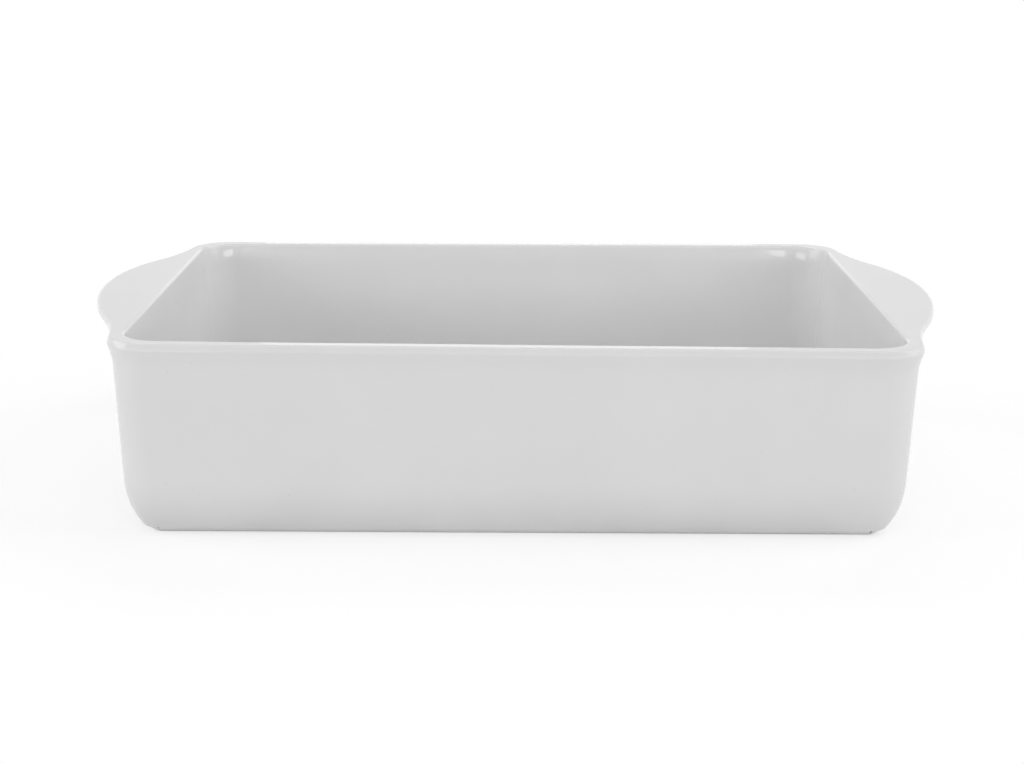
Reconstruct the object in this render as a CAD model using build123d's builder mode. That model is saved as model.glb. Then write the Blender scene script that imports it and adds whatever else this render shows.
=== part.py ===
from build123d import *
import math
import os

# Deep rectangular lasagna dish in glazed porcelain, in millimetres, +Z up.
# The origin is the middle of the face that the foot ring stands on. X runs from ear to ear.
# The dish is fired as one body. Its pieces meet on flat luting faces, and none reaches into another.

# Overall form, measured to the widest line of the lip before that line is rounded
lip_length = 340.0
lip_breadth = 231.0
height = 85.0
corner_radius = 19.0

# Walls and floor: the draft is in degrees, and the cove is a share of what the corner leaves inside the wall
wall_thickness = 6.0
wall_draft = 2.2
floor_thickness = 6.0
rounding_start = 23.0
cove_share = 0.86
floor_edge_share = 0.07

# Lip: a leaning face down to the widest line, a neck from there in to the wall,
# and inside a flare that opens the mouth a little
lip_overhang = 1.6
lip_face_height = 3.0
lip_face_lean = 1.0
lip_neck_height = 5.5
lip_inner_radius = 1.5
lip_outer_radius = 1.0
lip_ridge_radius = 1.8
lip_neck_radius = 10.0
lip_flare = 1.0
lip_flare_depth = 7.0
lip_flare_radius = 60.0

# Ears: reach from the lip's widest line, arcs as shares of half the straight short side,
# and edge radii as shares of the edge height
ear_reach = 22.9
ear_rise = 2.0
ear_crown_share = 1.57
ear_root_share = 1.41
ear_edge_height = 5.2
ear_edge_lean = 0.6
ear_edge_top_share = 0.43
ear_edge_bottom_share = 0.5
ear_underside_depth = 7.8
ear_cove_radius = 6.0
ear_land = 0.6
ear_seat_share = 0.33
ear_station_shares = (0.0, 0.2, 0.4, 0.55, 0.7, 0.8, 0.9, 1.0)

# Foot ring: its outer face leans in from the heel down to the ground, where it has this width
foot_height = 3.0
foot_width = 4.5
foot_lean = 4.0
foot_outer_corner_radius = 7.9
foot_inner_corner_radius = 2.5
foot_edge_radius = 0.8

overrun = 10.0

# Levels and places worked out from the sizes
draft_slope = math.tan(math.radians(wall_draft))
floor_top = foot_height + floor_thickness
band_depth = ear_underside_depth + ear_cove_radius + ear_land
band_bottom = height - band_depth
straight_x = lip_length / 2 - corner_radius
straight_y = lip_breadth / 2 - corner_radius


def outer_inset(z):
    """Distance of the outer wall face inside the lip's widest line, at height z."""
    return lip_overhang + (height - z) * draft_slope


def inner_inset(z):
    """Distance of the inner wall face inside the lip's widest line, at height z."""
    return outer_inset(z) + wall_thickness


# The lip's widest line, started in the middle of the front side
with BuildLine() as lip_line:
    FilletPolyline(
        (0, -lip_breadth / 2),
        (lip_length / 2, -lip_breadth / 2),
        (lip_length / 2, lip_breadth / 2),
        (-lip_length / 2, lip_breadth / 2),
        (-lip_length / 2, -lip_breadth / 2),
        radius=(0, corner_radius, corner_radius, corner_radius, corner_radius),
        close=True,
    )

# Sections through the wall stand on this plane: x runs inwards from the lip's widest line, y is up.
section_plane = Plane(origin=(0, -lip_breadth / 2, 0), x_dir=(0, 1, 0), z_dir=(1, 0, 0))

# Basin: one wall section led round the dish, rounded under and coved inside, with the floor within it
corner_room = corner_radius - inner_inset(floor_top)
cove_radius = cove_share * corner_room
floor_edge_inset = corner_radius - floor_edge_share * corner_room
foot_inset = corner_radius - foot_outer_corner_radius

with BuildPart() as basin:
    with BuildSketch(section_plane):
        with BuildLine():
            outer_wall = Line(
                (outer_inset(band_bottom), band_bottom),
                (outer_inset(rounding_start), rounding_start),
            )
            TangentArc(outer_wall @ 1, (foot_inset, foot_height), tangent=outer_wall % 1)
            FilletPolyline(
                (foot_inset, foot_height),
                (floor_edge_inset, foot_height),
                (floor_edge_inset, floor_top),
                (inner_inset(floor_top), floor_top),
                (inner_inset(band_bottom), band_bottom),
                outer_wall @ 0,
                radius=(0, 0, cove_radius, 0),
            )
        make_face()
    sweep(path=lip_line.wire())
    with BuildSketch(Plane.XY.offset(foot_height)):
        Rectangle(lip_length - 2 * floor_edge_inset, lip_breadth - 2 * floor_edge_inset)
    extrude(amount=floor_thickness)
basin.part.label = "basin"

# Plan of the ear: a crown arc over the middle of the short side, and at each end a hollow root arc
# that touches both the crown and the rounded corner of the lip
crown_radius = ear_crown_share * straight_y
root_radius = ear_root_share * straight_y
crown_centre_x = lip_length / 2 + ear_reach - crown_radius
crown_to_root = crown_radius + root_radius
corner_to_root = corner_radius + root_radius
crown_to_corner = math.hypot(straight_x - crown_centre_x, straight_y)
corner_bearing = math.atan2(straight_y, straight_x - crown_centre_x)
along = (crown_to_root**2 - corner_to_root**2 + crown_to_corner**2) / (2 * crown_to_corner)
root_bearing = corner_bearing - math.acos(along / crown_to_root)
root_centre_x = crown_centre_x + crown_to_root * math.cos(root_bearing)
root_centre_y = crown_to_root * math.sin(root_bearing)
crown_end_y = crown_radius * math.sin(root_bearing)

# The ear ends where its root arc touches the corner, at this turn round the corner's centre.
root_turn = math.atan2(root_centre_y - straight_y, root_centre_x - straight_x)
root_x = straight_x + corner_radius * math.cos(root_turn)
root_y = straight_y + corner_radius * math.sin(root_turn)

# Each ear sits against an upright face, sunk into the lip band by a share of the wall.
seat_inset = outer_inset(band_bottom) + ear_seat_share * wall_thickness
seat_x = lip_length / 2 - seat_inset


def corner_ray_y(x):
    """Where the line from the corner's centre through the ear's end is, at x."""
    return straight_y + (x - straight_x) * math.tan(root_turn)


# Rim: the lip's section led round the mouth, less a seat for the ear at each short end
with BuildPart() as rim:
    with BuildSketch(section_plane):
        with BuildLine():
            neck_z = height - lip_face_height - lip_neck_height
            flare_z = height - lip_flare_depth
            FilletPolyline(
                (inner_inset(band_bottom), band_bottom),
                (inner_inset(flare_z), flare_z),
                (inner_inset(height) - lip_flare, height),
                (lip_face_lean, height),
                (0, height - lip_face_height),
                (outer_inset(neck_z), neck_z),
                (outer_inset(band_bottom), band_bottom),
                radius=(
                    0,
                    lip_flare_radius,
                    lip_inner_radius,
                    lip_outer_radius,
                    lip_ridge_radius,
                    lip_neck_radius,
                    0,
                ),
                close=True,
            )
        make_face()
    sweep(path=lip_line.wire())
    clear_x = lip_length / 2 + overrun
    with BuildSketch(Plane.XY.offset(band_bottom)):
        with BuildLine():
            Polyline(
                (seat_x, -corner_ray_y(seat_x)),
                (clear_x, -corner_ray_y(clear_x)),
                (clear_x, corner_ray_y(clear_x)),
                (seat_x, corner_ray_y(seat_x)),
                close=True,
            )
        make_face()
        mirror(about=Plane.YZ)
    extrude(amount=band_depth, mode=Mode.SUBTRACT)
rim.part.label = "rim"


def reach_at(y):
    """How far the ear stands out from the lip's widest line, at y along the straight short side."""
    if abs(y) <= crown_end_y:
        return crown_centre_x + math.sqrt(crown_radius**2 - y**2) - lip_length / 2
    return root_centre_x - math.sqrt(root_radius**2 - (root_centre_y - abs(y)) ** 2) - lip_length / 2


def ear_section(plane, reach, seat):
    """The lip's section drawn out by the reach: x runs outwards from the lip's widest line, y is up."""
    share = reach / ear_reach

    def size(at_lip, at_tip):
        return at_lip + (at_tip - at_lip) * share

    edge_height = size(lip_face_height, ear_edge_height)
    top_radius = size(lip_outer_radius, ear_edge_top_share * ear_edge_height)
    bottom_radius = size(lip_ridge_radius, ear_edge_bottom_share * ear_edge_height)
    edge_top = height + size(0, ear_rise)
    neck_z = height - size(lip_face_height + lip_neck_height, ear_underside_depth)
    with BuildSketch(plane) as section:
        with BuildLine():
            FilletPolyline(
                (-seat, band_bottom),
                (-seat, height),
                (reach - size(lip_face_lean, ear_edge_lean), edge_top),
                (reach, edge_top - edge_height),
                (-outer_inset(neck_z), neck_z),
                (-outer_inset(band_bottom), band_bottom),
                radius=(0, 0, top_radius, bottom_radius, size(lip_neck_radius, ear_cove_radius), 0),
                close=True,
            )
        make_face()
    return section.sketch


def straight_section(y):
    """The ear's section at y along the straight part of the short side."""
    plane = Plane(origin=(lip_length / 2, y, 0), x_dir=(1, 0, 0), z_dir=(0, -1, 0))
    return ear_section(plane, reach_at(y), seat_inset)


def end_section(side):
    """The ear's section at its end, square to the corner of the lip, where it has no reach left."""
    outwards = (math.cos(root_turn), side * math.sin(root_turn), 0)
    backwards = (side * math.sin(root_turn), -math.cos(root_turn), 0)
    plane = Plane(origin=(root_x, side * root_y, 0), x_dir=outwards, z_dir=backwards)
    return ear_section(plane, 0, (root_x - seat_x) / math.cos(root_turn))


# Ears: the lip drawn out along the short side, from one root to the other
half_stations = [straight_y * share for share in ear_station_shares]
stations = [-y for y in reversed(half_stations[1:])] + half_stations

with BuildPart() as right_handle:
    loft([end_section(-1)] + [straight_section(y) for y in stations] + [end_section(1)])
right_handle.part.label = "right_handle"

with BuildPart() as left_handle:
    mirror(right_handle.part, about=Plane.YZ)
left_handle.part.label = "left_handle"

# Foot ring: a low ring under the edge of the floor. It carries the heel's curve on down to the ground,
# is upright inside, and has both lower edges eased.
foot_length = lip_length - 2 * foot_inset
foot_breadth = lip_breadth - 2 * foot_inset
ground_length = foot_length - 2 * foot_lean
ground_breadth = foot_breadth - 2 * foot_lean

with BuildPart() as foot_ring:
    with BuildSketch(Plane.XY):
        RectangleRounded(ground_length, ground_breadth, foot_outer_corner_radius - foot_lean)
    with BuildSketch(Plane.XY.offset(foot_height)):
        RectangleRounded(foot_length, foot_breadth, foot_outer_corner_radius)
    loft(ruled=True)
    with BuildSketch(Plane.XY):
        RectangleRounded(
            ground_length - 2 * foot_width,
            ground_breadth - 2 * foot_width,
            foot_inner_corner_radius,
        )
    extrude(amount=foot_height, mode=Mode.SUBTRACT)
    fillet(foot_ring.faces().sort_by(Axis.Z)[0].edges(), radius=foot_edge_radius)
foot_ring.part.label = "foot_ring"

os.makedirs("parts", exist_ok=True)
for piece in (basin, rim, left_handle, right_handle, foot_ring):
    export_step(piece.part, f"parts/{piece.part.label}.step")
    print(f"{piece.part.label}: {piece.part.volume / 1000:.1f} cm3, valid {piece.part.is_valid}")
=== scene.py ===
# %% [markdown]
# A deep lasagna dish in white glazed porcelain, dressed for a studio photograph.
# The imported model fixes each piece's place and size. This file gives the pieces their fired skin,
# their glaze, the light and the camera, one step to a cell.

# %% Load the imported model
import math

import bmesh
import bpy
from mathutils import Matrix, Vector, noise


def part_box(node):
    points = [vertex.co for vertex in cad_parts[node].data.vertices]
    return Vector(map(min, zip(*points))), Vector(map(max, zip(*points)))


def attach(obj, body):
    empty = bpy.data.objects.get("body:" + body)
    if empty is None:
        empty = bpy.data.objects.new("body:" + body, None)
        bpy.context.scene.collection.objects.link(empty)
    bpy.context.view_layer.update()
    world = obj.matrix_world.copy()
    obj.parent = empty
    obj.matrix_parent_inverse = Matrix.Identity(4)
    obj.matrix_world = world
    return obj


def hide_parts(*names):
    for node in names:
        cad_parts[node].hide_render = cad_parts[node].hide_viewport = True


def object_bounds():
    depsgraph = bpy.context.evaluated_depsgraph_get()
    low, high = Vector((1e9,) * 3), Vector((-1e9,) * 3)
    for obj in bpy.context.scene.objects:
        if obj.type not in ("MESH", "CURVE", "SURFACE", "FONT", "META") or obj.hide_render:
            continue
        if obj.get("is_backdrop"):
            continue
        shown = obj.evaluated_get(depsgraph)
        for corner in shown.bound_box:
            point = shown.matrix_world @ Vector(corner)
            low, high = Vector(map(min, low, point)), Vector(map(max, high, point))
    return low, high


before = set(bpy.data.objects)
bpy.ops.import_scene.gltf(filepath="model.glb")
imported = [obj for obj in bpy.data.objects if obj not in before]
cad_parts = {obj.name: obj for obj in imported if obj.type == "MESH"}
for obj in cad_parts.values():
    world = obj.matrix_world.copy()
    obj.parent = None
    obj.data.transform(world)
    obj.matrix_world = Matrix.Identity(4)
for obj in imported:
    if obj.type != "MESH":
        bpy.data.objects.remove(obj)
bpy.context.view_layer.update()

print("pieces in the packed model:", sorted(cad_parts))

# %% [markdown]
# The dish comes out of a mould, and the mould is one wall section led round the line of the lip.
# So the sizes are those of the section and of that line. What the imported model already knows, such as
# the height of the lip, is read from it, and the rest is written once, in millimetres.

# %% Sizes of the dish
mm = 0.001

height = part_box("rim")[1].z
band_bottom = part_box("rim")[0].z
foot_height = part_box("foot_ring")[1].z
seat_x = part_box("right_handle")[0].x

lip_length = 340 * mm
lip_breadth = 231 * mm
corner_radius = 19 * mm
straight_x = lip_length / 2 - corner_radius
straight_y = lip_breadth / 2 - corner_radius
seat_inset = lip_length / 2 - seat_x
foot_inset = lip_length / 2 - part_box("foot_ring")[1].x

wall_thickness = 6 * mm
wall_draft = math.radians(2.2)
floor_thickness = 6 * mm
floor_top = foot_height + floor_thickness
rounding_start = 23 * mm
cove_radius = 7.3 * mm
lip_overhang = 1.6 * mm


def outer_inset(z):
    """How far the outer wall face lies inside the lip's widest line, at height z."""
    return lip_overhang + (height - z) * math.tan(wall_draft)


def inner_inset(z):
    """How far the inner wall face lies inside the lip's widest line, at height z."""
    return outer_inset(z) + wall_thickness


print(f"lip {lip_length / mm:.0f} by {lip_breadth / mm:.0f} mm, {height / mm:.1f} mm high")

# %% [markdown]
# Seen from above, each ear is a crown arc over the middle of the short side. At both ends a hollow root
# arc touches the crown and the rounded corner of the lip, so the outline never has a kink.
# Solving for that tangent circle once gives the reach of the ear anywhere along the side.

# %% Plan of an ear
ear_reach = 22.9 * mm
crown_share = 1.57
root_share = 1.41
crown_radius = crown_share * straight_y
root_radius = root_share * straight_y

crown_centre_x = lip_length / 2 + ear_reach - crown_radius
crown_to_root = crown_radius + root_radius
corner_to_root = corner_radius + root_radius
crown_to_corner = math.hypot(straight_x - crown_centre_x, straight_y)
corner_bearing = math.atan2(straight_y, straight_x - crown_centre_x)
along = (crown_to_root**2 - corner_to_root**2 + crown_to_corner**2) / (2 * crown_to_corner)
root_bearing = corner_bearing - math.acos(along / crown_to_root)
root_centre_x = crown_centre_x + crown_to_root * math.cos(root_bearing)
root_centre_y = crown_to_root * math.sin(root_bearing)
crown_end_y = crown_radius * math.sin(root_bearing)
root_turn = math.atan2(root_centre_y - straight_y, root_centre_x - straight_x)


def side_reach(y):
    """How far the ear stands out from the lip, at y along the straight short side."""
    if abs(y) <= crown_end_y:
        return crown_centre_x + math.sqrt(crown_radius**2 - y**2) - lip_length / 2
    return root_centre_x - math.sqrt(root_radius**2 - (root_centre_y - abs(y)) ** 2) - lip_length / 2


def corner_reach(turn):
    """How far the ear stands out from the lip's rounded corner, at this turn past the straight side."""
    off = root_turn - turn
    across = corner_to_root * math.sin(off)
    return corner_to_root * math.cos(off) - math.sqrt(root_radius**2 - across**2) - corner_radius


print(f"each ear ends {math.degrees(root_turn):.1f} degrees round the corner")

# %% [markdown]
# The line of the lip is written as stations: places that each know which way is inwards, and how far
# the ear stands out there. The sides are cut evenly, about every 2.5 mm, so that the floor's grid can
# meet them point for point. Two narrow strips lie beside each end of an ear, and they keep the shading
# calm at that joint.

# %% Stations round the lip
squares_along = 120
squares_across = 80
corner_steps = 20
root_steps = 3
narrow_turn = math.radians(0.3)


class Station:
    """A place on the lip's widest line, with the direction it faces and the reach of the ear there."""

    def __init__(self, x, y, bearing, reach=0.0, ear=False, ear_end=False):
        self.place = Vector((x, y, 0))
        self.inward = Vector((-math.cos(bearing), -math.sin(bearing), 0))
        self.reach = reach
        self.ear = ear
        self.ear_end = ear_end


def corner_turns():
    """Turns round a corner, from the end of the short side to the end of the long side."""
    ear_part = [root_turn * i / root_steps for i in range(root_steps)]
    ends = [root_turn - narrow_turn, root_turn, root_turn + narrow_turn]
    rest = math.pi / 2 - root_turn
    return ear_part + ends + [root_turn + rest * i / corner_steps for i in range(1, corner_steps + 1)]


def corner(side_x, side_y):
    """Stations round one corner, from the short side to the long side."""
    result = []
    for turn in corner_turns():
        bearing = math.atan2(side_y * math.sin(turn), side_x * math.cos(turn))
        x = side_x * (straight_x + corner_radius * math.cos(turn))
        y = side_y * (straight_y + corner_radius * math.sin(turn))
        ear_end = turn == root_turn
        inside = turn < root_turn
        reach = corner_reach(turn) if inside else 0.0
        result.append(Station(x, y, bearing, reach, inside or ear_end, ear_end))
    return result


def long_side(side_y):
    """Stations along a long side, without its two ends, from left to right."""
    steps = [straight_x * (2 * i / squares_along - 1) for i in range(1, squares_along)]
    return [Station(x, side_y * lip_breadth / 2, side_y * math.pi / 2) for x in steps]


def short_side(side_x):
    """Stations along a short side, without its two ends, from front to back."""
    steps = [straight_y * (2 * i / squares_across - 1) for i in range(1, squares_across)]
    bearing = 0 if side_x > 0 else math.pi
    return [Station(side_x * lip_length / 2, y, bearing, side_reach(y), True) for y in steps]


lip_stations = (
    long_side(-1)
    + corner(1, -1)[::-1]
    + short_side(1)
    + corner(1, 1)
    + long_side(1)[::-1]
    + corner(-1, 1)[::-1]
    + short_side(-1)[::-1]
    + corner(-1, -1)
)
print("stations round the lip:", len(lip_stations))

# %% [markdown]
# A section is a row of points: x is the inset from the lip's widest line, y is the height. Its corners
# are eased by arcs. A straight run gets one point close to each end, because smooth shading
# would otherwise bleed from the arc into the flat beside it.

# %% Drawing a section
arc_steps = 6
run_spacing = 4 * mm
hold = 0.3 * mm


def at(inset, level):
    """A point of a section."""
    return Vector((inset, level))


def arc(centre, start, end, steps=arc_steps):
    """Points of the shorter arc about a centre, from start to end."""
    first = math.atan2(start.y - centre.y, start.x - centre.x)
    last = math.atan2(end.y - centre.y, end.x - centre.x)
    turn = (last - first + math.pi) % (2 * math.pi) - math.pi
    radius = (start - centre).length
    angles = [first + turn * i / steps for i in range(steps + 1)]
    return [centre + at(radius * math.cos(a), radius * math.sin(a)) for a in angles]


def eased(before, corner_point, after, radius, steps=arc_steps):
    """Points of the arc that eases a corner, from one straight run to the next."""
    back = (before - corner_point).normalized()
    forth = (after - corner_point).normalized()
    half = back.angle(forth) / 2
    centre = corner_point + (back + forth).normalized() * radius / math.sin(half)
    run_in = radius / math.tan(half)
    return arc(centre, corner_point + back * run_in, corner_point + forth * run_in, steps)


def shares_of(length, longest):
    """Shares of a straight run, its ends left out: one close to each end and even ones between."""
    count = max(2, math.ceil(length / longest))
    near = hold / length
    return [near, *(i / count for i in range(1, count)), 1 - near]


def run(start, end, longest=run_spacing):
    """Points of a straight run between two points, its ends left out."""
    return [start.lerp(end, share) for share in shares_of((end - start).length, longest)]


# %% [markdown]
# Node trees are drawn by hand in most lessons. Written as a script they can be read and changed like any
# other size, and one small function is enough: it adds a node, sets it, and gives its inputs values or
# links. Every tree here ends alike, so that part is written once too: points that coincide are merged,
# the shading is smoothed, instances are made real, and the material is set.

# %% Adding a node
merge_gap = 0.002 * mm


def add(tree, kind, inputs=None, **settings):
    """Adds a node with its settings, and gives its inputs values or links."""
    made = tree.nodes.new(kind)
    for name, value in settings.items():
        setattr(made, name, value)
    for key, value in (inputs or {}).items():
        if isinstance(value, bpy.types.NodeSocket):
            tree.links.new(value, made.inputs[key])
        else:
            made.inputs[key].default_value = value
    return made


def new_tree(name, sockets):
    """A Geometry Nodes tree with named inputs, and its input and output nodes."""
    tree = bpy.data.node_groups.new(name, "GeometryNodeTree")
    tree.interface.new_socket("Geometry", in_out="INPUT", socket_type="NodeSocketGeometry")
    for socket, kind in sockets.items():
        tree.interface.new_socket(socket, in_out="INPUT", socket_type=kind)
    tree.interface.new_socket("Geometry", in_out="OUTPUT", socket_type="NodeSocketGeometry")
    return tree, add(tree, "NodeGroupInput"), add(tree, "NodeGroupOutput")


def finish_tree(tree, geometry, given, result):
    """Merges what coincides, smooths the shading and gives the material."""
    merged = add(tree, "GeometryNodeMergeByDistance", {"Geometry": geometry, "Distance": merge_gap})
    smooth = add(tree, "GeometryNodeSetShadeSmooth", {"Geometry": merged.outputs[0]})
    real = add(tree, "GeometryNodeRealizeInstances", {"Geometry": smooth.outputs[0]})
    coated = add(
        tree,
        "GeometryNodeSetMaterial",
        {"Geometry": real.outputs[0], "Material": given.outputs["Material"]},
    )
    tree.links.new(coated.outputs[0], result.inputs["Geometry"])


# %% [markdown]
# The main pieces all follow one rule, a section led along a line, so one Geometry Nodes tree makes them.
# Curve to Mesh gives the faces. Its own frame would shear where an arc meets a straight, so every point
# is then put where the rule says: the station's place, plus the inset along its inward direction, plus
# the height. A station's share blends in a second section, which draws the ear out of the lip.

# %% The tree that leads a section along a line
led, given, result = new_tree(
    "Section led along a line",
    {
        "Section": "NodeSocketObject",
        "Full reach": "NodeSocketFloat",
        "Close the ends": "NodeSocketBool",
        "Material": "NodeSocketMaterial",
    },
)
place = add(led, "GeometryNodeInputPosition").outputs[0]
line = add(led, "GeometryNodeMeshToCurve", {"Mesh": given.outputs["Geometry"]})
kept_line = add(led, "GeometryNodeCaptureAttribute", {"Geometry": line.outputs[0]})
kept_line.capture_items.new("VECTOR", "Station")
led.links.new(place, kept_line.inputs["Station"])

drawn_section = add(led, "GeometryNodeObjectInfo", {"Object": given.outputs["Section"]})
profile = add(led, "GeometryNodeMeshToCurve", {"Mesh": drawn_section.outputs["Geometry"]})
kept_profile = add(led, "GeometryNodeCaptureAttribute", {"Geometry": profile.outputs[0]})
kept_profile.capture_items.new("VECTOR", "Section point")
led.links.new(place, kept_profile.inputs["Section point"])

skin = add(
    led,
    "GeometryNodeCurveToMesh",
    {
        "Curve": kept_line.outputs["Geometry"],
        "Profile Curve": kept_profile.outputs["Geometry"],
        "Fill Caps": given.outputs["Close the ends"],
    },
)
inward = add(led, "GeometryNodeInputNamedAttribute", {"Name": "inward"}, data_type="FLOAT_VECTOR")
reach = add(led, "GeometryNodeInputNamedAttribute", {"Name": "reach"}, data_type="FLOAT")
drawn = add(led, "GeometryNodeInputNamedAttribute", {"Name": "drawn"}, data_type="FLOAT_VECTOR")
share = add(
    led, "ShaderNodeMath", {0: reach.outputs[0], 1: given.outputs["Full reach"]}, operation="DIVIDE"
)
pulled = add(
    led, "ShaderNodeVectorMath", {0: drawn.outputs[0], "Scale": share.outputs[0]}, operation="SCALE"
)
blended = add(
    led,
    "ShaderNodeVectorMath",
    {0: kept_profile.outputs["Section point"], 1: pulled.outputs[0]},
    operation="ADD",
)
inset_and_level = add(led, "ShaderNodeSeparateXYZ", {0: blended.outputs[0]})
aside = add(
    led,
    "ShaderNodeVectorMath",
    {0: inward.outputs[0], "Scale": inset_and_level.outputs["X"]},
    operation="SCALE",
)
upward = add(led, "ShaderNodeCombineXYZ", {"Z": inset_and_level.outputs["Y"]})
foot_point = add(
    led, "ShaderNodeVectorMath", {0: kept_line.outputs["Station"], 1: aside.outputs[0]}, operation="ADD"
)
final_point = add(
    led, "ShaderNodeVectorMath", {0: foot_point.outputs[0], 1: upward.outputs[0]}, operation="ADD"
)
shaped = add(
    led,
    "GeometryNodeSetPosition",
    {"Geometry": skin.outputs[0], "Position": final_point.outputs[0]},
)
finish_tree(led, shaped.outputs[0], given, result)
print("nodes in the leading tree:", len(led.nodes))

# %% [markdown]
# The floor is flat and needs no section, so a second small tree lays a grid inside the wall, once for the
# floor and once for the underside. The grids have the wall's own spacing, and merging joins them to it.

# %% The tree that lays the floor
floor_tree, given, result = new_tree(
    "Floor inside the wall",
    {
        "Length": "NodeSocketFloat",
        "Breadth": "NodeSocketFloat",
        "Top": "NodeSocketFloat",
        "Underside": "NodeSocketFloat",
        "Squares along": "NodeSocketInt",
        "Squares across": "NodeSocketInt",
        "Material": "NodeSocketMaterial",
    },
)
columns = add(floor_tree, "ShaderNodeMath", {0: given.outputs["Squares along"], 1: 1.0})
rows = add(floor_tree, "ShaderNodeMath", {0: given.outputs["Squares across"], 1: 1.0})
grid = add(
    floor_tree,
    "GeometryNodeMeshGrid",
    {
        "Size X": given.outputs["Length"],
        "Size Y": given.outputs["Breadth"],
        "Vertices X": columns.outputs[0],
        "Vertices Y": rows.outputs[0],
    },
)
joined = add(floor_tree, "GeometryNodeJoinGeometry")
floor_tree.links.new(given.outputs["Geometry"], joined.inputs[0])
for level in ("Top", "Underside"):
    lift = add(floor_tree, "ShaderNodeCombineXYZ", {"Z": given.outputs[level]})
    laid = add(
        floor_tree,
        "GeometryNodeTransform",
        {"Geometry": grid.outputs["Mesh"], "Translation": lift.outputs[0]},
    )
    floor_tree.links.new(laid.outputs[0], joined.inputs[0])
finish_tree(floor_tree, joined.outputs[0], given, result)

# %% [markdown]
# Inside, the corners of the mouth are rounder than outside, so the wall is thickest there. A second
# line for the inner face would need a second tree. Instead the pieces are made with concentric
# corners, and one function of place moves the inner face to where the rounder arc runs. It only
# knows where a point lies, not which piece it is on, so rim, basin and ears still meet. From
# 30 mm above the floor the effect fades out downwards.

# %% Rounder corners inside
core_rounding = 5.5 * mm
core_fade = 30 * mm


def arc_gap(along, across, radius):
    """How far the rounder arc lies inside the concentric one, beside or past the corner's centre."""
    rounder = radius + core_rounding
    if along > 0 and across > 0:
        lean = core_rounding * (along + across) / math.hypot(along, across)
        return radius + lean - math.sqrt(rounder**2 - 2 * core_rounding**2 + lean**2)
    before = max(core_rounding + min(along, across), 0)
    return rounder - math.sqrt(rounder**2 - before**2)


def cored(point):
    """Where a point of a piece lies once the inner corners are rounder."""
    along, across = abs(point.x) - straight_x, abs(point.y) - straight_y
    outward = Vector((max(along, 0), max(across, 0), 0))
    inset = corner_radius - outward.length
    through_wall = min(max((inset - outer_inset(point.z)) / wall_thickness, 0), 1)
    above_floor = min(max((point.z - floor_top) / core_fade, 0), 1)
    share = through_wall * above_floor**2 * (3 - 2 * above_floor)
    if share == 0 or outward.length == 0:
        return point
    push = outward.normalized() * share * arc_gap(along, across, outward.length)
    return point - Vector((math.copysign(push.x, point.x), math.copysign(push.y, point.y), 0))


mouth_radius = corner_radius - inner_inset(height) + core_rounding
print(f"inner corners at the lip: radius {mouth_radius / mm:.1f} mm")

# %% [markdown]
# Porcelain is fired almost to glass. It shrinks and moves as it does, so no dish is dead straight: here
# the front of the lip drops a little towards the right and the back towards the left, and the walls
# wave by up to a tenth of a millimetre. The foot is ground flat afterwards, so the change grows from
# nothing at the table. Three noises, read from places far apart, move a point along X, Y and Z.

# %% What the kiln does
front_tilt = 0.0050
back_tilt = -0.0020
wave_depth = 0.15 * mm
wave_length = 70 * mm
wave_origins = (Vector((3.1, 0, 0)), Vector((0, 7.3, 0)), Vector((0, 0, 11.9)))


def fired(point):
    """Where a point of the moulded shape lies after the kiln."""
    lift = point.z / height
    frontness = 0.5 - point.y / lip_breadth
    drop = (back_tilt + (front_tilt - back_tilt) * frontness) * point.x
    wave = Vector([noise.noise(point / wave_length + origin) for origin in wave_origins]) * wave_depth
    return point + (wave - Vector((0, 0, drop))) * lift


# %% [markdown]
# Each piece is built in the same way: a line object and a section object go into the tree, the result
# is turned into a plain mesh, and the helpers are deleted. Edges that turn by more than 40 degrees
# stay sharp, which are the luting faces where one piece meets the next.

# %% Turning line and section into a finished piece
sharp_turn = math.radians(40)


def wire(name, points, closed, **attributes):
    """An object with a row of points joined by edges, and an attribute for each named list of values."""
    count = len(points)
    pairs = [(i, (i + 1) % count) for i in range(count if closed else count - 1)]
    mesh = bpy.data.meshes.new(name)
    mesh.from_pydata(points, pairs, [])
    for attribute, values in attributes.items():
        vector = isinstance(values[0], Vector)
        data = mesh.attributes.new(attribute, "FLOAT_VECTOR" if vector else "FLOAT", "POINT").data
        flat = [number for value in values for number in value] if vector else values
        data.foreach_set("vector" if vector else "value", flat)
    made = bpy.data.objects.new(name, mesh)
    bpy.context.scene.collection.objects.link(made)
    return made


def dress(piece, tree, **inputs):
    """Puts a tree on an object, with its inputs set by their identifiers."""
    modifier = piece.modifiers.new(tree.name, "NODES")
    modifier.node_group = tree
    for item in tree.interface.items_tree:
        key = item.name.lower().replace(" ", "_")
        if item.in_out == "INPUT" and key in inputs:
            modifier[item.identifier] = inputs[key]


def plain_piece(piece, name, helpers):
    """The finished mesh of a dressed object, after firing, with outward faces and no helpers left."""
    bpy.context.view_layer.update()
    seen = bpy.context.evaluated_depsgraph_get()
    mesh = bpy.data.meshes.new_from_object(piece.evaluated_get(seen), depsgraph=seen)
    for helper in (piece, *helpers):
        bpy.data.objects.remove(helper)
    for attribute in ("inward", "reach", "drawn"):
        mesh.attributes.remove(mesh.attributes[attribute])
    shape = bmesh.new()
    shape.from_mesh(mesh)
    for vertex in shape.verts:
        vertex.co = fired(cored(vertex.co))
    bmesh.ops.recalc_face_normals(shape, faces=shape.faces)
    open_edges = sum(not edge.is_manifold for edge in shape.edges)
    shape.to_mesh(mesh)
    shape.free()
    mesh.set_sharp_from_angle(angle=sharp_turn)
    mesh.name = name
    made = bpy.data.objects.new(name, mesh)
    bpy.context.scene.collection.objects.link(made)
    print(f"{name}: {len(mesh.polygons)} faces, open edges {open_edges}")
    return made


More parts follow.
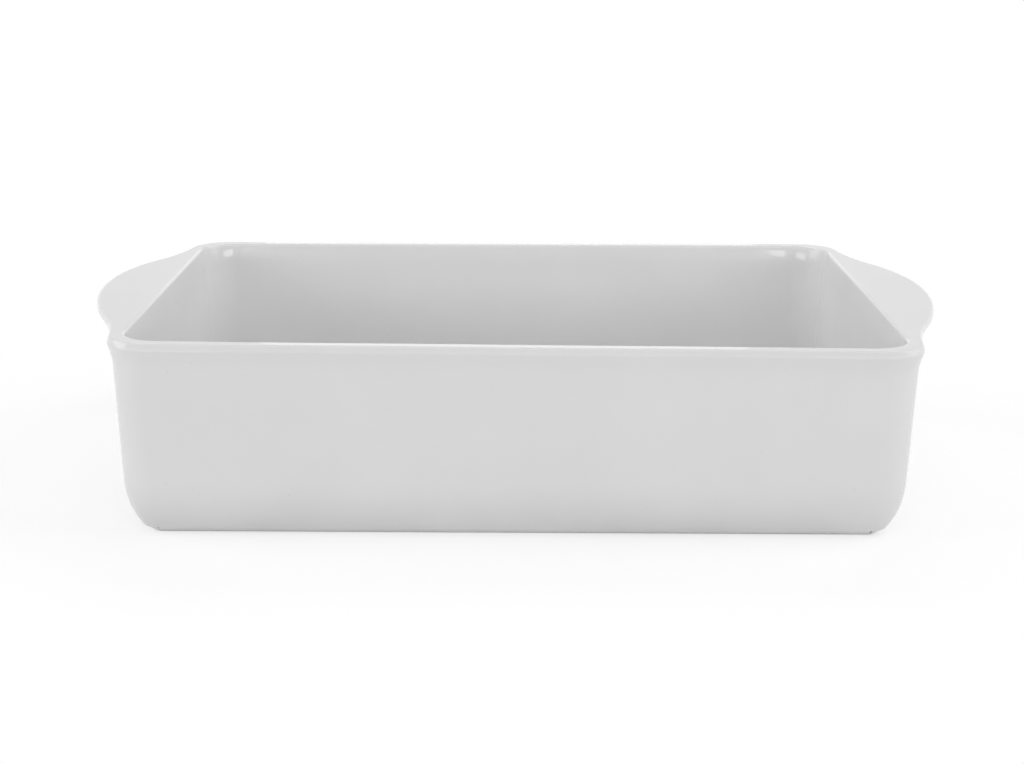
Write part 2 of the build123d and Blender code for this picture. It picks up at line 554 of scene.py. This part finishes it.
def line_of(name, stations, reaches, closed=True):
    """The line object for these stations."""
    places = [station.place for station in stations]
    inwards = [station.inward for station in stations]
    return wire(name, places, closed, inward=inwards, reach=reaches)


def section_of(name, points, second=None, closed=True):
    """The section object for these points, and where a second section draws them to."""
    second = second or points
    flat = [point.to_3d() for point in points]
    pulls = [(there - here).to_3d() for here, there in zip(points, second)]
    return wire(name, flat, closed, drawn=pulls)


# %% [markdown]
# Colours are written as sRGB hex values, as a colour picker gives them, and one function turns them
# into the linear values that shaders use.

# %% Colours
def linear(code):
    """An sRGB hex colour as the linear colour that shaders use."""
    parts = [int(code[i : i + 2], 16) / 255 for i in (1, 3, 5)]
    return (*(p / 12.92 if p <= 0.04045 else ((p + 0.055) / 1.055) ** 2.4 for p in parts), 1.0)


glaze_white = linear("#EDEDED")
clouded_white = linear("#EBEBEB")
# painted greyer towards the bottom of the dish
low_grey_white = linear("#DEDEDE")
# painted shade inside the pinholes
pinhole_painted_shade = linear("#CFCECC")
bare_white = linear("#E4E2DF")
ground_white = linear("#D4D1CC")

# %% [markdown]
# Glazed porcelain is a dense white body under a clear glass skin, put on by dipping and fired until it
# flows. The eye reads it by sharp reflections that wander a little, over a soft even white.
# The glass has an IOR of 1.5 and hardly any roughness. Its skin is never flat: long slow waves where it
# ran, a fine peel like that of an orange, and now and then a pinhole where gas left the body, its pit
# painted darker as painted shade. Towards the bottom the white is painted a touch greyer. All of this is
# written in real millimetres on Object coordinates.
# Only the pinholes are drawn wider than most real ones, because finer ones wouldn't show.

# %% Clear glaze over white porcelain
glaze_ior = 1.5
glaze_roughness = (0.03, 0.06)
cloud_size = 38 * mm
cloud_range = (0.35, 0.65)
gloss_range = (0.3, 0.7)
run_size = 34 * mm
run_depth = 0.05
peel_size = 2.1 * mm
peel_depth = 0.0018
pinhole_spacing = 10 * mm
pinhole_radius = 0.28 * mm
pinhole_core = 0.4
pinhole_depth = 0.05
# From this height down to the next one, the white is painted greyer.
greying_below = 26 * mm
greyest_below = 4 * mm


def glaze_skin(tree):
    """The glaze's colour, roughness and bump, with its place and the height above the table."""
    spot = add(tree, "ShaderNodeTexCoord").outputs["Object"]
    level = add(tree, "ShaderNodeSeparateXYZ", {0: spot}).outputs["Z"]
    lumps = {
        size: add(tree, "ShaderNodeTexNoise", {"Vector": spot, "Scale": 1 / size, "Detail": detail})
        for size, detail in ((cloud_size, 3.0), (run_size, 1.0), (peel_size, 1.0))
    }
    clouds, runs, peel = (lump.outputs["Fac"] for lump in lumps.values())
    nearest = add(tree, "ShaderNodeTexVoronoi", {"Vector": spot, "Scale": 1 / pinhole_spacing})
    hole_edge = pinhole_radius / pinhole_spacing

    clouded, low_down, hole, gloss = (
        add(
            tree,
            "ShaderNodeMapRange",
            {"Value": value, "From Min": start, "From Max": end, "To Min": low, "To Max": high},
        ).outputs[0]
        for value, start, end, low, high in (
            (clouds, *cloud_range, 0.0, 1.0),
            (level, greying_below, greyest_below, 0.0, 1.0),
            (nearest.outputs["Distance"], hole_edge, pinhole_core * hole_edge, 0.0, 1.0),
            (clouds, *gloss_range, *glaze_roughness),
        )
    )
    # Towards the bottom the white is painted greyer, patchy where the clouds are.
    low_grey_share = add(tree, "ShaderNodeMath", {0: low_down, 1: clouds}, operation="MULTIPLY").outputs[0]

    white = glaze_white
    # The pinhole tint is painted shade in the pits, laid over their bump.
    for share, tint in ((clouded, clouded_white), (low_grey_share, low_grey_white), (hole, pinhole_painted_shade)):
        white = add(tree, "ShaderNodeMix", {0: share, 6: white, 7: tint}, data_type="RGBA").outputs[2]

    height_mm = 0.0
    for pattern, depth in ((runs, run_depth), (peel, peel_depth), (hole, -pinhole_depth)):
        inputs = {0: pattern, 1: depth, 2: height_mm}
        height_mm = add(tree, "ShaderNodeMath", inputs, operation="MULTIPLY_ADD").outputs[0]
    bump = add(tree, "ShaderNodeBump", {"Height": height_mm, "Strength": 1.0, "Distance": mm})
    return white, gloss, bump.outputs[0], spot, level


def surface(name, ior):
    """A new material with its tree and its shader."""
    material = bpy.data.materials.new(name)
    material.use_nodes = True
    shader = material.node_tree.nodes["Principled BSDF"]
    shader.inputs["IOR"].default_value = ior
    return material, material.node_tree, shader


glazed, tree, shader = surface("clear glaze over white porcelain", glaze_ior)
white, gloss, relief, spot, level = glaze_skin(tree)
tree.links.new(white, shader.inputs["Base Color"])
tree.links.new(gloss, shader.inputs["Roughness"])
tree.links.new(relief, shader.inputs["Normal"])
print("nodes in the glaze:", len(tree.nodes))

# %% [markdown]
# The foot wears the same glaze down to about a millimetre above the table. There it was wiped off with
# a sponge, so its edge wanders, and the bare body below was ground flat on a wheel: matt, a little warmer,
# finely grained, and greyed where it has rubbed on tables. The height and a slow noise part the two.
# The real grain is under a tenth of a millimetre, too fine to show, so it is drawn at half a millimetre.

# %% Foot, wiped and ground
wipe_height = 0.9 * mm
wipe_wander = 0.9 * mm
wipe_length = 9 * mm
wipe_softness = 0.15 * mm
grain_size = 0.5 * mm
grain_depth = 0.012
rub_size = 6 * mm
rub_range = (0.5, 0.75)
bare_roughness = 0.62

wiped, tree, shader = surface("wiped and ground porcelain foot", glaze_ior)
white, gloss, relief, spot, level = glaze_skin(tree)
lumps = {
    size: add(tree, "ShaderNodeTexNoise", {"Vector": spot, "Scale": 1 / size, "Detail": detail})
    for size, detail in ((wipe_length, 2.0), (rub_size, 4.0), (grain_size, 2.0))
}
wander, rubs, grain = (lump.outputs["Fac"] for lump in lumps.values())
edge = add(tree, "ShaderNodeMath", {0: wander, 1: -wipe_wander, 2: level}, operation="MULTIPLY_ADD")
mean_edge = wipe_height - wipe_wander / 2
bare_share, rubbed = (
    add(tree, "ShaderNodeMapRange", {"Value": value, "From Min": start, "From Max": end}).outputs[0]
    for value, start, end in (
        (edge.outputs[0], mean_edge + wipe_softness, mean_edge - wipe_softness),
        (rubs, *rub_range),
    )
)
bare = {0: rubbed, 6: bare_white, 7: ground_white}
body = add(tree, "ShaderNodeMix", bare, data_type="RGBA").outputs[2]
colour = add(tree, "ShaderNodeMix", {0: bare_share, 6: white, 7: body}, data_type="RGBA").outputs[2]
rough = add(tree, "ShaderNodeMix", {0: bare_share, 2: gloss, 3: bare_roughness}).outputs[0]
ground = add(tree, "ShaderNodeMath", {0: grain, 1: bare_share}, operation="MULTIPLY").outputs[0]
grained = add(
    tree,
    "ShaderNodeBump",
    {"Height": ground, "Strength": 1.0, "Distance": grain_depth * mm, "Normal": relief},
).outputs[0]
tree.links.new(colour, shader.inputs["Base Color"])
tree.links.new(rough, shader.inputs["Roughness"])
tree.links.new(grained, shader.inputs["Normal"])
print("nodes in the foot's finish:", len(tree.nodes))

# %% [markdown]
# The basin is the floor and the four walls. Its section runs from under the floor, round the heel, up the
# outside, across the luting face below the lip band, and down the inside to the floor again. A box with
# bevelled edges would be quicker, but here the heel leaves the leaning wall in one smooth arc and ends
# exactly on the foot, and the cove inside has a size of its own.

# %% Basin
heel_steps = 12
cove_steps = 9
wall_top = at(outer_inset(band_bottom), band_bottom)
heel_start = at(outer_inset(rounding_start), rounding_start)
heel_end = at(foot_inset, foot_height)
up_the_wall = (wall_top - heel_start).normalized()
square_to_wall = at(up_the_wall.y, -up_the_wall.x)
heel_chord = heel_end - heel_start
heel_radius = heel_chord.length_squared / (2 * heel_chord.dot(square_to_wall))
heel = arc(heel_start + square_to_wall * heel_radius, heel_end, heel_start, heel_steps)

inside_top = at(inner_inset(band_bottom), band_bottom)
floor_corner = at(inner_inset(floor_top), floor_top)
floor_edge = at(corner_radius, floor_top)
underside_edge = at(corner_radius, foot_height)
cove = eased(inside_top, floor_corner, floor_edge, cove_radius, cove_steps)

basin_section = (
    [underside_edge, *run(underside_edge, heel_end)]
    + heel
    + [*run(heel_start, wall_top), wall_top]
    + [inside_top, *run(inside_top, cove[0])]
    + cove
    + [*run(cove[-1], floor_edge), floor_edge]
)
no_reach = [0.0] * len(lip_stations)
line = line_of("basin line", lip_stations, no_reach)
section = section_of("basin section", basin_section, closed=False)
dress(line, led, section=section, full_reach=1.0, close_the_ends=False, material=glazed)
dress(
    line,
    floor_tree,
    length=2 * straight_x,
    breadth=2 * straight_y,
    top=floor_top,
    underside=foot_height,
    squares_along=squares_along,
    squares_across=squares_across,
    material=glazed,
)
basin = plain_piece(line, "dish_basin", [section])
print(f"heel radius {heel_radius / mm:.1f} mm")

# %% [markdown]
# The lip's outside runs from the seat line, over the edge, under it and down to the wall. Where an ear is
# drawn out, the same row of points becomes the ear's section, so one function draws both.

# %% The outside of the lip and of the ear
lip_face_height = 3 * mm
lip_face_lean = 1 * mm
lip_neck_height = 6.5 * mm
lip_inner_radius = 1.5 * mm
lip_outer_radius = 1 * mm
lip_ridge_radius = 1.8 * mm
lip_neck_radius = 22 * mm
lip_flare = 1 * mm
lip_flare_depth = 7 * mm
lip_flare_radius = 60 * mm

ear_rise = 1.6 * mm
ear_easing = 8 * mm
ear_edge_height = 5.2 * mm
ear_edge_lean = 0.6 * mm
ear_top_radius = 2.2 * mm
ear_bottom_radius = 2.6 * mm
ear_underside_depth = 7.8 * mm
ear_cove_radius = 6 * mm
ear_top_spacing = 2.5 * mm
land_length = 3 * mm

seat = at(seat_inset, height)
top_shares = shares_of(ear_reach, ear_top_spacing)
underside_shares = shares_of(ear_reach, run_spacing)
land_shares = shares_of(land_length, land_length / 2)


def lip_outside(share):
    """Points from the seat line over the edge to the foot of the band: share 0 at the lip, 1 at the tip."""

    def size(at_lip, at_tip):
        return at_lip + (at_tip - at_lip) * share

    reach_here = ear_reach * share
    knee = at(seat_inset - ear_easing / 2 * share, height)
    edge_top = height + ear_rise * share
    top_corner = at(size(lip_face_lean, ear_edge_lean) - reach_here, edge_top)
    edge_corner = at(-reach_here, edge_top - size(lip_face_height, ear_edge_height))
    neck_z = height - size(lip_face_height + lip_neck_height, ear_underside_depth)
    neck = at(outer_inset(neck_z), neck_z)
    band_foot = at(outer_inset(band_bottom), band_bottom)

    top_arc = eased(knee, top_corner, edge_corner, size(lip_outer_radius, ear_top_radius))
    edge_arc = eased(top_corner, edge_corner, neck, size(lip_ridge_radius, ear_bottom_radius))
    neck_arc = eased(edge_corner, neck, band_foot, size(lip_neck_radius, ear_cove_radius))
    slope = (top_arc[0].y - height) / (knee.x - top_arc[0].x)
    ease_length = max(ear_easing * share, hold)

    def top_point(part):
        out = (seat.x - top_arc[0].x) * part
        rise = slope * (out**2 / (2 * ease_length) if out < ease_length else out - ease_length / 2)
        return at(seat.x - out, height + rise)

    return (
        [seat, *(top_point(part) for part in top_shares)]
        + top_arc
        + [top_arc[-1].lerp(edge_arc[0], 0.5)]
        + edge_arc
        + [edge_arc[-1].lerp(neck_arc[0], part) for part in underside_shares]
        + neck_arc
        + [neck_arc[-1].lerp(band_foot, part) for part in land_shares]
        + [band_foot]
    )


lip_side = lip_outside(0)
tip_side = lip_outside(1)
print("points over the edge of the lip:", len(lip_side))

# %% [markdown]
# The rim is the lip band round the mouth. Along each ear its outside is drawn back to an upright seat, by
# the same blend that draws the ear out. A station at each end of an ear is there twice, once with the
# full lip and once drawn back, and between the two lies the end wall of the seat.

# %% Rim
flare_steps = 8
fine_spacing = 1 * mm
flare_z = height - lip_flare_depth
inside_foot = at(inner_inset(band_bottom), band_bottom)
flare_knee = at(inner_inset(flare_z), flare_z)
inside_head = at(inner_inset(height) - lip_flare, height)
flare_arc = eased(inside_foot, flare_knee, inside_head, lip_flare_radius, flare_steps)
inner_arc = eased(flare_knee, inside_head, seat, lip_inner_radius)
lip_inside = [
    inside_foot,
    *run(inside_foot, flare_arc[0], fine_spacing),
    *flare_arc,
    *inner_arc,
    *run(inner_arc[-1], seat, fine_spacing),
]
drawn_back = [at(seat_inset, point.y) for point in lip_side]

rim_stations = []
rim_reaches = []
for index, station in enumerate(lip_stations):
    inside_ear = 1.0 if station.ear else 0.0
    if station.ear_end:
        before = 1.0 if lip_stations[index - 1].ear else 0.0
        rim_stations.append(station)
        rim_reaches.append(before)
        inside_ear = 1.0 - before
    rim_stations.append(station)
    rim_reaches.append(inside_ear)

line = line_of("rim line", rim_stations, rim_reaches)
section = section_of("rim section", lip_inside + lip_side, lip_inside + drawn_back)
dress(line, led, section=section, full_reach=1.0, close_the_ends=False, material=glazed)
rim = plain_piece(line, "dish_rim", [section])

# %% [markdown]
# Each ear is the lip drawn out along the short side. Its line is the stretch of stations between its two
# ends, where the reach is nothing and the ear's section is the lip's own. So the joint can't be seen.

# %% Ears
ears = {}
band_seat = at(seat_inset, band_bottom)
for node, side_x in (("left_handle", -1), ("right_handle", 1)):
    stretch = [station for station in lip_stations if station.ear and station.place.x * side_x > 0]
    line = line_of(f"{node} line", stretch, [station.reach for station in stretch], closed=False)
    section = section_of(f"{node} section", lip_side + [band_seat], tip_side + [band_seat])
    dress(line, led, section=section, full_reach=ear_reach, close_the_ends=True, material=glazed)
    ears[node] = plain_piece(line, f"dish_{node}", [section])

# %% [markdown]
# The foot ring is a low wall under the heel, wiped bare and ground flat so that it doesn't stick in the
# kiln. Its outer corner follows the lip's corner, its inner corner is rounded by itself, and a station's
# inward direction here points from one outline to the other, so the same tree leads its section.

# %% Foot ring
foot_width = 4.5 * mm
foot_lean = 4 * mm
foot_inner_radius = 2.5 * mm
foot_edge_radius = 0.8 * mm
foot_span = foot_lean + foot_width
foot_stations = []
for station in lip_stations:
    outer = station.place + station.inward * foot_inset
    sides = Vector((math.copysign(1, outer.x), math.copysign(1, outer.y), 0))
    inner = outer + station.inward * foot_span
    if abs(outer.x) >= straight_x and abs(outer.y) >= straight_y:
        centre = Vector((straight_x + corner_radius, straight_y + corner_radius, 0))
        centre -= Vector((1, 1, 0)) * (foot_inset + foot_span + foot_inner_radius)
        inner = Vector((centre.x * sides.x, centre.y * sides.y, 0)) - station.inward * foot_inner_radius
    foot_stations.append((outer, (inner - outer) / foot_span))

foot_corners = [
    at(0, foot_height),
    at(foot_lean, 0),
    at(foot_span, 0),
    at(foot_span, foot_height),
]
foot_section = (
    [foot_corners[0]]
    + eased(*foot_corners[0:3], foot_edge_radius)
    + eased(*foot_corners[1:4], foot_edge_radius)
    + [foot_corners[3]]
)
places, inwards = zip(*foot_stations)
line = wire("foot line", places, True, inward=inwards, reach=no_reach)
section = section_of("foot section", foot_section)
dress(line, led, section=section, full_reach=1.0, close_the_ends=False, material=wiped)
foot_ring = plain_piece(line, "dish_foot_ring", [section])

# %% [markdown]
# Every piece stands for its node in the imported model, which it hides, and rides on the dish's one
# body. How far its box ends from the packed piece's box is printed.

# %% Put the pieces on the frame
for piece, node, slot in (
    (basin, "basin", "glaze"),
    (rim, "rim", "glaze"),
    (ears["left_handle"], "left_handle", "glaze"),
    (ears["right_handle"], "right_handle", "glaze"),
    (foot_ring, "foot_ring", "bare_porcelain"),
):
    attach(piece, "root")
    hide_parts(node)
    low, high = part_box(node)
    for axis in range(3):
        along_axis = [vertex.co[axis] for vertex in piece.data.vertices]
        below = (min(along_axis) - low[axis]) / mm
        above = (max(along_axis) - high[axis]) / mm
        print(f"{node}, {'XYZ'[axis]}: ends {below:+.2f} and {above:+.2f} mm from the packed piece")

# %% [markdown]
# The camera stands a little under 80 cm in front of the dish's middle and looks down by 15 degrees. Its
# place, lens and slight roll were worked out from the lines of the dish in the photograph.

# %% Camera
picture_width = 1024
focal_pixels = 1713.7
camera_place = Vector((-4.1, -788.7, 254.7)) * mm
pitch = math.radians(15.28)
roll = math.radians(0.37)
yaw = math.radians(0.20)

forward = Vector(
    (math.sin(yaw) * math.cos(pitch), math.cos(yaw) * math.cos(pitch), -math.sin(pitch))
)
right = Vector((math.cos(yaw), -math.sin(yaw), 0))
up = right.cross(forward)
rolled_right = right * math.cos(roll) + up * math.sin(roll)
rolled_up = up * math.cos(roll) - right * math.sin(roll)
turned = Matrix((rolled_right, rolled_up, -forward)).transposed()

camera_data = bpy.data.cameras.new("camera")
camera_data.lens = focal_pixels / picture_width * camera_data.sensor_width
camera = bpy.data.objects.new("camera", camera_data)
camera.matrix_world = Matrix.Translation(camera_place) @ turned.to_4x4()
bpy.context.scene.collection.objects.link(camera)
bpy.context.scene.camera = camera
print(f"lens {camera_data.lens:.1f} mm")

# %% [markdown]
# White on white needs large soft lamps, so that each side of the dish gets its own level of grey. Two
# low strips beside the camera draw the lip and leave a small bright spot in each back corner, and a
# faint one behind the dish brightens the flat top of the lip. Left and right differ, as in the photograph.
# Each lamp is given by its place, its width and length in metres, and its power in watts.

# %% Lamps
bpy.context.scene.view_settings.view_transform = "Standard"
dish_middle = Vector((0, 0, height / 2))
lamps = {
    "overhead front": ((0, -1.2, 1.5), 1.6, 0.9, 4),
    "overhead back": ((0, 1.2, 1.5), 1.6, 0.9, 6),
    "overhead right": ((1.3, 0, 1.4), 1.4, 1.2, 5.5),
    "wide front left": ((-1.14, -1.83, 0.40), 1.5, 0.3, 4.5),
    "wide front right": ((1.14, -1.83, 0.40), 1.5, 0.3, 5.5),
    "left": ((-2.0, -0.1, 0.9), 1.8, 1.2, 13),
    "right": ((2.0, -0.1, 0.9), 1.8, 1.2, 6),
    "backdrop": ((0, 3.0, 0.72), 1.1, 0.5, 0.8),
}
for name, (place, width, length, watts) in lamps.items():
    data = bpy.data.lights.new(name, "AREA")
    data.shape = "RECTANGLE"
    data.size = width
    data.size_y = length
    data.energy = watts
    lamp = bpy.data.objects.new(name, data)
    facing = (dish_middle - Vector(place)).to_track_quat("-Z", "Y")
    lamp.matrix_world = Matrix.Translation(place) @ facing.to_matrix().to_4x4()
    bpy.context.scene.collection.objects.link(lamp)
    print(f"{name}: {watts} W")

# %% [markdown]
# The world gives an even light from all round, as the white walls of a studio do. Rays that the camera,
# a reflection or a transmission sends past the dish see plain white.

# %% World
ambient = 0.32


def seen_rays(tree):
    """A node output that is 1 for camera, glossy and transmission rays, and 0 for diffuse light."""
    path = add(tree, "ShaderNodeLightPath")
    seen = path.outputs["Is Camera Ray"]
    for kind in ("Is Glossy Ray", "Is Transmission Ray"):
        both = {0: seen, 1: path.outputs[kind]}
        seen = add(tree, "ShaderNodeMath", both, operation="MAXIMUM").outputs[0]
    return seen


world = bpy.data.worlds.new("studio")
bpy.context.scene.world = world
world.use_nodes = True
sky = world.node_tree
strength = add(sky, "ShaderNodeMapRange", {"Value": seen_rays(sky), "To Min": ambient, "To Max": 1.0})
background = sky.nodes["Background"]
background.inputs["Color"].default_value = (1, 1, 1, 1)
sky.links.new(strength.outputs[0], background.inputs["Strength"])

# %% [markdown]
# The dish stands on a sheet of white paper that keeps its shadow. Further out, where no shadow falls,
# what the camera and the reflections see of the paper fades into plain white, so no horizon shows.

# %% Floor
paper_reach = 6.0
fade_start = Vector((0.24, 0.17, 1))
fade_end_share = 1.7
glow_near = 0.4
paper_lift = 0.30
paper_white = linear("#F0F0F0")
paper_ior = 1.45
paper_roughness = 0.9

table = bpy.data.meshes.new("white paper")
corners = ((-1, -1), (1, -1), (1, 1), (-1, 1))
table.from_pydata([(x * paper_reach, y * paper_reach, 0) for x, y in corners], [], [(0, 1, 2, 3)])
floor = bpy.data.objects.new("white paper", table)
bpy.context.scene.collection.objects.link(floor)
floor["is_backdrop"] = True

paper, tree, shader = surface("white paper", paper_ior)
table.materials.append(paper)
shader.inputs["Base Color"].default_value = paper_white
shader.inputs["Roughness"].default_value = paper_roughness
spot = add(tree, "ShaderNodeTexCoord").outputs["Object"]
shrunk = add(tree, "ShaderNodeVectorMath", {0: spot, 1: fade_start}, operation="DIVIDE").outputs[0]
away = add(tree, "ShaderNodeVectorMath", {0: shrunk}, operation="LENGTH").outputs["Value"]
share = add(
    tree,
    "ShaderNodeMapRange",
    {"Value": away, "From Min": 1.0, "From Max": fade_end_share, "To Min": glow_near, "To Max": 1.0},
    interpolation_type="SMOOTHSTEP",
).outputs[0]
seen = seen_rays(tree)
seen_share, lift = (
    add(tree, "ShaderNodeMath", {0: seen, 1: factor}, operation="MULTIPLY").outputs[0]
    for factor in (share, paper_lift)
)
shader.inputs["Emission Color"].default_value = (1, 1, 1, 1)
tree.links.new(lift, shader.inputs["Emission Strength"])
glow = add(tree, "ShaderNodeEmission", {"Strength": 1.0})
mixed = add(tree, "ShaderNodeMixShader", {0: seen_share, 1: shader.outputs[0], 2: glow.outputs[0]})
tree.links.new(mixed.outputs[0], tree.nodes["Material Output"].inputs["Surface"])
print("the paper turns to plain white", fade_start.x * fade_end_share, "m out along X")

# %% [markdown]
# The box round what is dressed is worked out from the scene's objects, the paper and the hidden packed
# pieces left out.

# %% Box of what is dressed
low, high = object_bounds()
